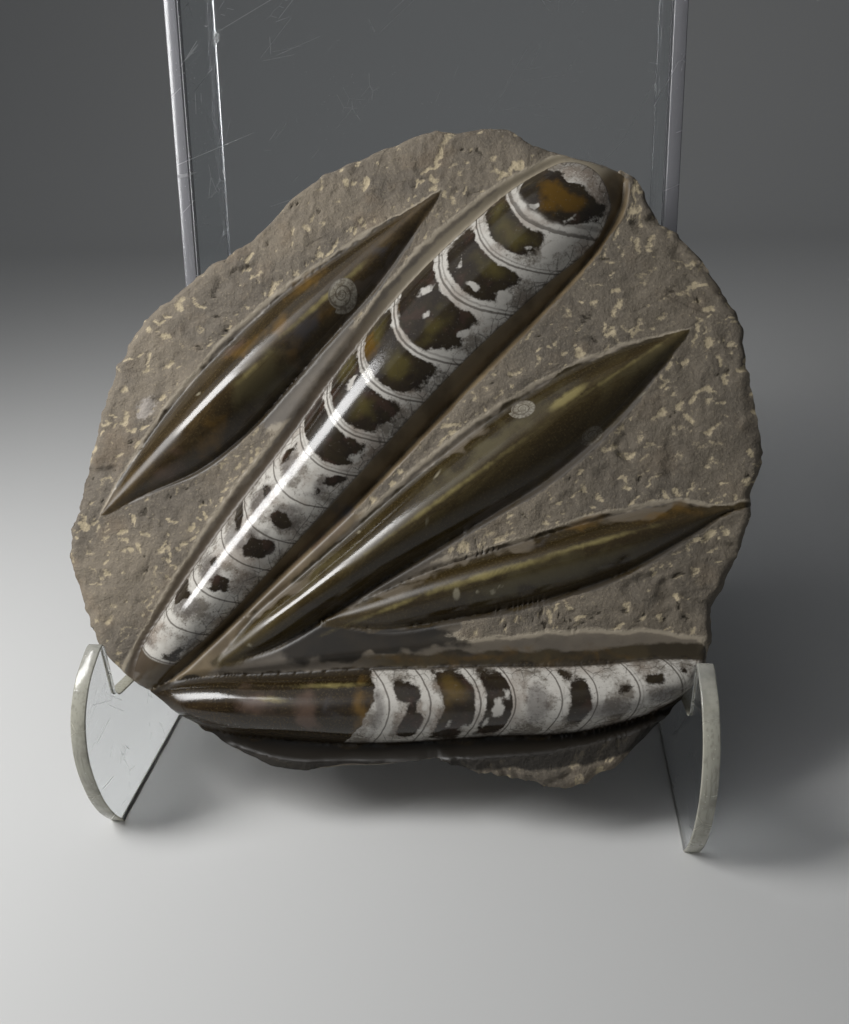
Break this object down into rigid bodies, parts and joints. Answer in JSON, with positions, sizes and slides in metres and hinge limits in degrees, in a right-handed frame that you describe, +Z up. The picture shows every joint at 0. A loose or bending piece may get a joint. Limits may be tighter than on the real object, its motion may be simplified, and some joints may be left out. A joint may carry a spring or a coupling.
{
  "type": "orthoceras fossil plate on a stand",
  "caption": "Limestone slab with polished orthoceras fossils standing in relief, leaning on a clear acrylic easel.",
  "frame": {"origin": "on the ground under the middle of the whole object's box", "axes": "+Z up, the polished face of the slab looks towards -Y and up, +X to the viewer's right"},
  "size_m": [0.2814, 0.2706, 0.33],
  "materials": {
    "limestone": "pecked and matte between polished fossil ridges",
    "clear_acrylic": "clear acrylic sheet, lightly scratched, with sawn edges"
  },
  "bodies": {
    "root": {"fossil_slab": "limestone", "side_plate_left": "clear_acrylic", "side_plate_right": "clear_acrylic", "back_panel": "clear_acrylic"}
  },
  "joints": []
}
